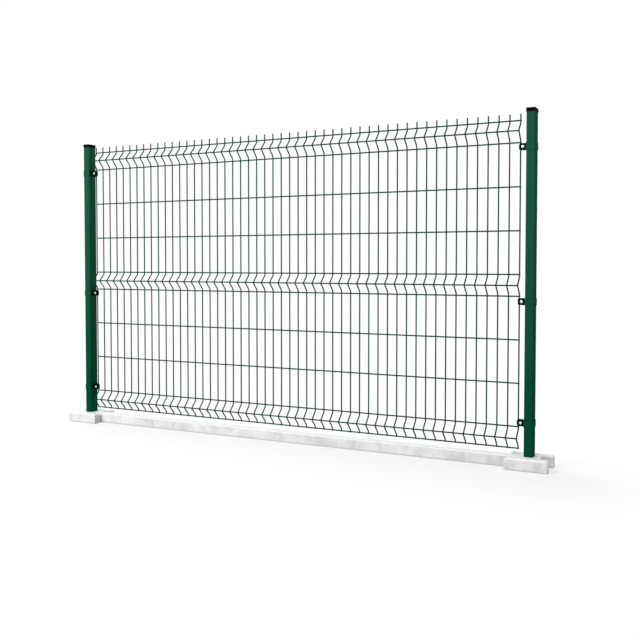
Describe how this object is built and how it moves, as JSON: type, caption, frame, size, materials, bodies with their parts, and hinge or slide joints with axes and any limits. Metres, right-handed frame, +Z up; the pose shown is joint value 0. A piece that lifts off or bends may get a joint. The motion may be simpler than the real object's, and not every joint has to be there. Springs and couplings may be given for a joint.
{
  "type": "welded mesh fence bay",
  "caption": "Fence bay of folded welded wire mesh, clamped between two capped hollow posts over a low concrete kickboard in slotted connectors.",
  "frame": {"origin": "centre of the left post's foot at ground level", "axes": "+Z up, +X along the fence towards the right post, the folds' ridges face -Y"},
  "size_m": [2.798, 0.17, 1.636],
  "materials": {
    "post_coating": "satin moss green powder coat",
    "clamp_coating": "satin moss green powder coat, the ears darkened",
    "wire_coating": "satin dark moss green coat over galvanised wire",
    "cap_plastic": "matt black moulded plastic",
    "concrete": "pale cast concrete",
    "bolt_zinc": "bright zinc plate"
  },
  "bodies": {
    "root": {"left_post": "post_coating", "right_post": "post_coating", "left_post_cap": "cap_plastic", "right_post_cap": "cap_plastic", "left_upper_clamp": "clamp_coating", "left_middle_clamp": "clamp_coating", "left_lower_clamp": "clamp_coating", "right_upper_clamp": "clamp_coating", "right_middle_clamp": "clamp_coating", "right_lower_clamp": "clamp_coating", "left_connector": "concrete", "right_connector": "concrete", "kickboard": "concrete", "mesh_lower_fold": "wire_coating", "mesh_lower_rows": "wire_coating", "mesh_middle_fold": "wire_coating", "mesh_upper_rows": "wire_coating", "mesh_upper_fold": "wire_coating"}
  },
  "joints": []
}
